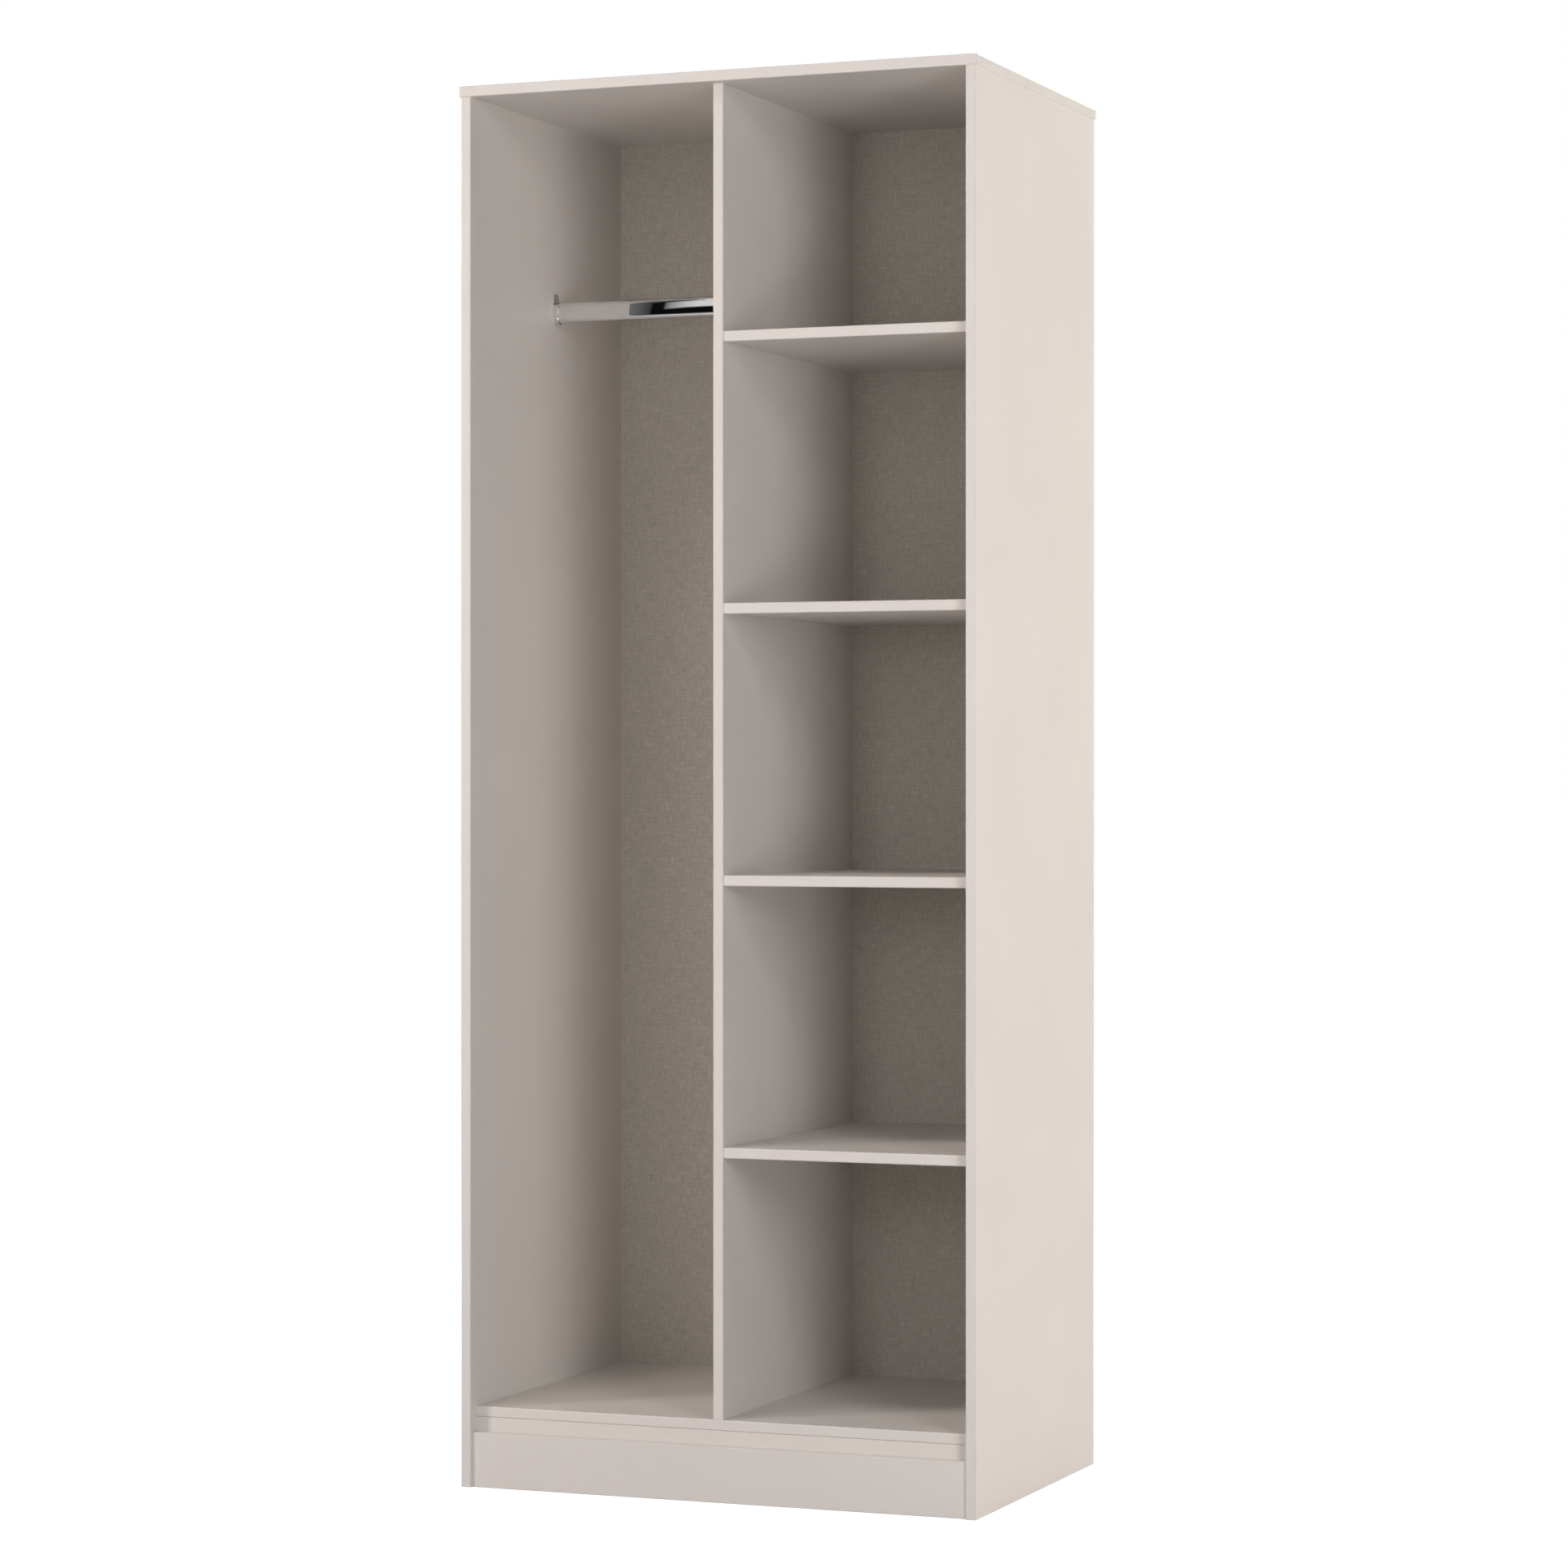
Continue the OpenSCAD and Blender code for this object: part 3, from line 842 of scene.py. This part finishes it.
def dowel_tree(sizes):
    """Fluted dowel with eased ends, centred on its place; it keeps its own grain direction."""
    tree, size = geometry_tree("fluted dowel", sizes)
    outer = half(tree, size["Diameter"])
    end = half(tree, size["Length"])
    outline = add(tree, "GeometryNodeCurveStar")
    outline.inputs["Points"].default_value = DOWEL_FLUTES
    feed(tree, outline.inputs["Outer Radius"], outer)
    feed(tree, outline.inputs["Inner Radius"], maths(tree, "SUBTRACT", outer, size["Flute Depth"]))
    line = add(tree, "GeometryNodeCurvePrimitiveLine")
    for label, z in (("Start", minus(tree, end)), ("End", end)):
        place = add(tree, "ShaderNodeCombineXYZ")
        feed(tree, place.inputs["Z"], z)
        feed(tree, line.inputs[label], place.outputs[0])
    steps = add(tree, "GeometryNodeResampleCurve")
    feed(tree, steps.inputs["Curve"], line.outputs[0])
    steps.inputs["Count"].default_value = DOWEL_STEPS
    along = add(tree, "GeometryNodeSplineParameter").outputs["Factor"]
    from_middle = maths(tree, "ABSOLUTE", maths(tree, "SUBTRACT", along, 0.5))
    at_end = maths(tree, "GREATER_THAN", from_middle, DOWEL_END)
    body = add(tree, "GeometryNodeCurveToMesh")
    feed(tree, body.inputs["Curve"], steps.outputs[0])
    feed(tree, body.inputs["Profile Curve"], outline.outputs[0])
    narrowing = maths(tree, "MULTIPLY", at_end, DOWEL_EASE)
    feed(tree, body.inputs["Scale"], maths(tree, "SUBTRACT", 1.0, narrowing))
    body.inputs["Fill Caps"].default_value = True
    keep = add(tree, "GeometryNodeStoreNamedAttribute", data_type="FLOAT_VECTOR", domain="POINT")
    keep.inputs["Name"].default_value = "grain"
    feed(tree, keep.inputs["Geometry"], body.outputs[0])
    feed(tree, keep.inputs["Value"], add(tree, "GeometryNodeInputPosition").outputs[0])
    set_out(tree, size, keep.outputs["Geometry"])
    return tree


def make_set(name, node, build, sizes, material, places):
    """Run a tree over its places, keep the result as a plain mesh and let it stand for the node."""
    tree = build(sizes)
    mesh = bpy.data.meshes.new(name + "_places")
    mesh.from_pydata([place for place, aim in places], [], [])
    aims = mesh.attributes.new("aim", "FLOAT_VECTOR", "POINT")
    for entry, (place, aim) in zip(aims.data, places):
        entry.vector = aim
    spots = new_object(name + "_places", mesh)
    modifier = spots.modifiers.new("fixings", "NODES")
    modifier.node_group = tree
    for socket in tree.interface.items_tree:
        if socket.name in sizes:
            modifier[socket.identifier] = sizes[socket.name] * MM
        elif socket.name == "Finish":
            modifier[socket.identifier] = material
    solved = spots.evaluated_get(bpy.context.evaluated_depsgraph_get())
    result = bpy.data.meshes.new_from_object(solved)
    result.name = name
    bpy.data.objects.remove(spots)
    stand_in(new_piece(name, result, FIXING_SHARP), node)


def middle_of(low, high, axis, end):
    """Middle of a box's face at the given end of an axis."""
    place = (low + high) / 2
    place[axis] = end
    return place


# Back pins are driven a little below the surface, each in the dimple that the hammer leaves. Its
# cutter is wider than the head by the first width behind the sheet and by the second at its floor
PIN_SUNK = 0.2
DIMPLE_DEPTH = 0.45
DIMPLE_RIM = (0.6, 0.15)
DIMPLE_SEGMENTS = 24
BACK_SHARP = 5


def make_back():
    """Back sheet with a shallow dimple round the head of each pin."""
    dents = bmesh.new()
    for low, high in solids_of("back_pins"):
        head_radius = (high.x - low.x) / 2
        radii = [head_radius + rim * MM for rim in DIMPLE_RIM]
        place = Matrix.Translation(middle_of(low, high, Y, high.y))
        bmesh.ops.create_cone(dents, cap_ends=True, segments=DIMPLE_SEGMENTS,
                              radius1=radii[0], radius2=radii[1], depth=2 * DIMPLE_DEPTH * MM,
                              matrix=place @ Matrix.Rotation(math.pi / 2, 4, "X"))
    dent_mesh = bpy.data.meshes.new("dents")
    dents.to_mesh(dent_mesh)
    dents.free()
    cutter = new_object("dents", dent_mesh)
    whole = new_object("whole_sheet", boards["back_panel"].data.copy())
    modifier = whole.modifiers.new("dimples", "BOOLEAN")
    modifier.operation = "DIFFERENCE"
    modifier.solver = "EXACT"
    modifier.object = cutter
    solved = whole.evaluated_get(bpy.context.evaluated_depsgraph_get())
    result = bpy.data.meshes.new_from_object(solved)
    result.name = "back_sheet"
    for helper in (cutter, whole):
        bpy.data.objects.remove(helper)
    stand_in(new_piece("back_sheet", result, BACK_SHARP), "back_panel")


# Fixings: what the frame's plain shapes leave open, and their boxes give the rest
SCREW = {"Core Diameter": 2.4, "Thread Diameter": 3.5, "Pitch": 1.6, "Recess Width": 3.2}
RAIL_SCREW = {**SCREW, "Head Depth": 1.5, "Recess Depth": 0.9}
PLINTH_SCREW = {**SCREW, "Head Depth": 2.0, "Recess Depth": 1.1}
BACK_PIN = {"Head Height": 0.6, "Shank Diameter": 1.6}
DOWEL = {"Flute Depth": 0.35}


def make_rail_screws():
    """Screws through the brackets, with their heads towards the middle of the rail."""
    rail_middle = sum(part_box("hanging_rail"), Vector()).x / 2
    boxes = solids_of("rail_screws")
    heads = []
    for low, high in boxes:
        if high.x < rail_middle:
            heads.append((middle_of(low, high, X, high.x), RIGHT))
        else:
            heads.append((middle_of(low, high, X, low.x), LEFT))
    low, high = boxes[0]
    sizes = {**RAIL_SCREW, "Head Diameter": (high.y - low.y) / MM, "Length": (high.x - low.x) / MM}
    make_set("rail_screw_set", "rail_screws", screw_tree, sizes, zinc, heads)


def make_plinth_screws():
    """Screws from behind the front rail into the fascia."""
    boxes = solids_of("plinth_screws")
    heads = [(middle_of(low, high, Y, high.y), REAR) for low, high in boxes]
    low, high = boxes[0]
    sizes = {**PLINTH_SCREW, "Head Diameter": (high.x - low.x) / MM, "Length": (high.y - low.y) / MM}
    make_set("plinth_screw_set", "plinth_screws", screw_tree, sizes, zinc, heads)


def make_back_pins():
    boxes = solids_of("back_pins")
    heads = [(middle_of(low, high, Y, high.y - PIN_SUNK * MM), REAR) for low, high in boxes]
    low, high = boxes[0]
    length = (high.y - low.y) / MM - PIN_SUNK
    sizes = {**BACK_PIN, "Head Diameter": (high.x - low.x) / MM, "Length": length}
    make_set("back_pin_set", "back_pins", pin_tree, sizes, steel, heads)


def make_dowels():
    """Dowels, each along the longest side of its box."""
    boxes = solids_of("dowels")
    centres = []
    for low, high in boxes:
        length = high - low
        axis = max(range(3), key=lambda k: length[k])
        centres.append(((low + high) / 2, [1 if k == axis else 0 for k in range(3)]))
    length = boxes[0][1] - boxes[0][0]
    sizes = {**DOWEL, "Diameter": min(length) / MM, "Length": max(length) / MM}
    make_set("dowel_set", "dowels", dowel_tree, sizes, dowel_wood, centres)


put_camera()
put_floor()
put_backdrop()
for softbox in SOFTBOXES:
    put_softbox(*softbox)
put_card("grey_card", GREY_CARD)
put_card("light_card", LIGHT_CARD)
finish_boards()
make_back()
make_rail()
make_bracket("bracket_left", "rail_bracket_left")
make_bracket("bracket_right", "rail_bracket_right")
make_rail_screws()
make_plinth_screws()
make_back_pins()
make_dowels()
